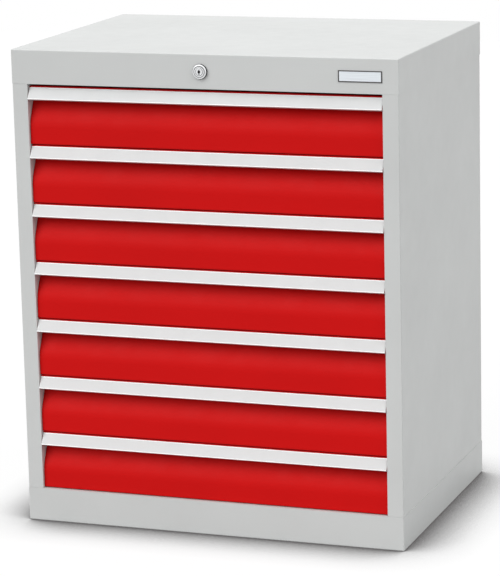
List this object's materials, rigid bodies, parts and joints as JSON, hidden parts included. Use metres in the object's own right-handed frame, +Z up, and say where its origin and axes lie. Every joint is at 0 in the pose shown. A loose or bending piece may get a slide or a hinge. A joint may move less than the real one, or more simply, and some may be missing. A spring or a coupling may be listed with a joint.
{
  "type": "workshop drawer cabinet",
  "caption": "Free-standing steel workshop cabinet with equal red drawers on telescopic slides, slanted grip rails with label strips, and one central cylinder lock.",
  "frame": {"origin": "bottom centre of the bounding box, at floor level", "axes": "+Z up, -Y towards the drawer fronts, +X to the right of a person facing the front"},
  "size_m": [0.678, 0.499, 0.82],
  "materials": {
    "body_paint": "satin light grey powder coat",
    "front_paint": "satin red powder coat",
    "grip_aluminium": "natural anodised",
    "label_plastic": "blank paper under matt clear film",
    "zinc_steel": "bright zinc plated",
    "lock_chrome": "satin chrome",
    "plate_metal": "matt, with a plain darker rim",
    "guide_plastic": "black moulded"
  },
  "bodies": {
    "cabinet": {"base_plinth": "body_paint", "left_side_wall": "body_paint", "right_side_wall": "body_paint", "back_panel": "body_paint", "top_cover": "body_paint", "slide_uprights": "zinc_steel", "outer_slides": "zinc_steel", "body_fasteners": "zinc_steel", "lock_housing": "lock_chrome", "lock_nut": "zinc_steel", "spindle_bracket": "zinc_steel", "lock_bar_guides": "guide_plastic", "name_plate": "plate_metal"},
    "drawer_1": {"drawer_1_tray": "body_paint", "drawer_1_front": "front_paint", "drawer_1_grip": "grip_aluminium", "drawer_1_label": "label_plastic", "drawer_1_inner_slides": "zinc_steel"},
    "middle_slides_1": {"drawer_1_middle_slides": "zinc_steel"},
    "drawer_2": {"drawer_2_tray": "body_paint", "drawer_2_front": "front_paint", "drawer_2_grip": "grip_aluminium", "drawer_2_label": "label_plastic", "drawer_2_inner_slides": "zinc_steel"},
    "middle_slides_2": {"drawer_2_middle_slides": "zinc_steel"},
    "drawer_3": {"drawer_3_tray": "body_paint", "drawer_3_front": "front_paint", "drawer_3_grip": "grip_aluminium", "drawer_3_label": "label_plastic", "drawer_3_inner_slides": "zinc_steel"},
    "middle_slides_3": {"drawer_3_middle_slides": "zinc_steel"},
    "drawer_4": {"drawer_4_tray": "body_paint", "drawer_4_front": "front_paint", "drawer_4_grip": "grip_aluminium", "drawer_4_label": "label_plastic", "drawer_4_inner_slides": "zinc_steel"},
    "middle_slides_4": {"drawer_4_middle_slides": "zinc_steel"},
    "drawer_5": {"drawer_5_tray": "body_paint", "drawer_5_front": "front_paint", "drawer_5_grip": "grip_aluminium", "drawer_5_label": "label_plastic", "drawer_5_inner_slides": "zinc_steel"},
    "middle_slides_5": {"drawer_5_middle_slides": "zinc_steel"},
    "drawer_6": {"drawer_6_tray": "body_paint", "drawer_6_front": "front_paint", "drawer_6_grip": "grip_aluminium", "drawer_6_label": "label_plastic", "drawer_6_inner_slides": "zinc_steel"},
    "middle_slides_6": {"drawer_6_middle_slides": "zinc_steel"},
    "drawer_7": {"drawer_7_tray": "body_paint", "drawer_7_front": "front_paint", "drawer_7_grip": "grip_aluminium", "drawer_7_label": "label_plastic", "drawer_7_inner_slides": "zinc_steel"},
    "middle_slides_7": {"drawer_7_middle_slides": "zinc_steel"},
    "lock_core": {"lock_cylinder": "lock_chrome", "lock_spindle": "zinc_steel", "lock_cam": "zinc_steel"},
    "lock_bar": {"lock_bar": "zinc_steel"}
  },
  "joints": [
    {"name": "drawer_1_pull", "type": "slide", "parent": "cabinet", "child": "drawer_1", "axis": [0, -1, 0], "range_m": [0, 0.4]},
    {"name": "middle_slides_1_travel", "type": "slide", "parent": "cabinet", "child": "middle_slides_1", "axis": [0, -1, 0], "range_m": [0, 0.2]},
    {"name": "drawer_2_pull", "type": "slide", "parent": "cabinet", "child": "drawer_2", "axis": [0, -1, 0], "range_m": [0, 0.4]},
    {"name": "middle_slides_2_travel", "type": "slide", "parent": "cabinet", "child": "middle_slides_2", "axis": [0, -1, 0], "range_m": [0, 0.2]},
    {"name": "drawer_3_pull", "type": "slide", "parent": "cabinet", "child": "drawer_3", "axis": [0, -1, 0], "range_m": [0, 0.4]},
    {"name": "middle_slides_3_travel", "type": "slide", "parent": "cabinet", "child": "middle_slides_3", "axis": [0, -1, 0], "range_m": [0, 0.2]},
    {"name": "drawer_4_pull", "type": "slide", "parent": "cabinet", "child": "drawer_4", "axis": [0, -1, 0], "range_m": [0, 0.4]},
    {"name": "middle_slides_4_travel", "type": "slide", "parent": "cabinet", "child": "middle_slides_4", "axis": [0, -1, 0], "range_m": [0, 0.2]},
    {"name": "drawer_5_pull", "type": "slide", "parent": "cabinet", "child": "drawer_5", "axis": [0, -1, 0], "range_m": [0, 0.4]},
    {"name": "middle_slides_5_travel", "type": "slide", "parent": "cabinet", "child": "middle_slides_5", "axis": [0, -1, 0], "range_m": [0, 0.2]},
    {"name": "drawer_6_pull", "type": "slide", "parent": "cabinet", "child": "drawer_6", "axis": [0, -1, 0], "range_m": [0, 0.4]},
    {"name": "middle_slides_6_travel", "type": "slide", "parent": "cabinet", "child": "middle_slides_6", "axis": [0, -1, 0], "range_m": [0, 0.2]},
    {"name": "drawer_7_pull", "type": "slide", "parent": "cabinet", "child": "drawer_7", "axis": [0, -1, 0], "range_m": [0, 0.4]},
    {"name": "middle_slides_7_travel", "type": "slide", "parent": "cabinet", "child": "middle_slides_7", "axis": [0, -1, 0], "range_m": [0, 0.2]},
    {"name": "lock_bar_lift", "type": "slide", "parent": "cabinet", "child": "lock_bar", "axis": [0, 0, 1], "range_m": [0, 0.01131]},
    {"name": "lock_turn", "type": "hinge", "parent": "cabinet", "child": "lock_core", "pos_m": [0, -0.2435, 0.791], "axis": [0, -1, 0], "range_deg": [0, 90]}
  ],
  "couplings": [
    {"joint": "middle_slides_1_travel", "follows": "drawer_1_pull", "ratio": 0.5},
    {"joint": "middle_slides_2_travel", "follows": "drawer_2_pull", "ratio": 0.5},
    {"joint": "middle_slides_3_travel", "follows": "drawer_3_pull", "ratio": 0.5},
    {"joint": "middle_slides_4_travel", "follows": "drawer_4_pull", "ratio": 0.5},
    {"joint": "middle_slides_5_travel", "follows": "drawer_5_pull", "ratio": 0.5},
    {"joint": "middle_slides_6_travel", "follows": "drawer_6_pull", "ratio": 0.5},
    {"joint": "middle_slides_7_travel", "follows": "drawer_7_pull", "ratio": 0.5},
    {"joint": "lock_turn", "follows": "lock_bar_lift", "rad_per_m": 138.84}
  ]
}
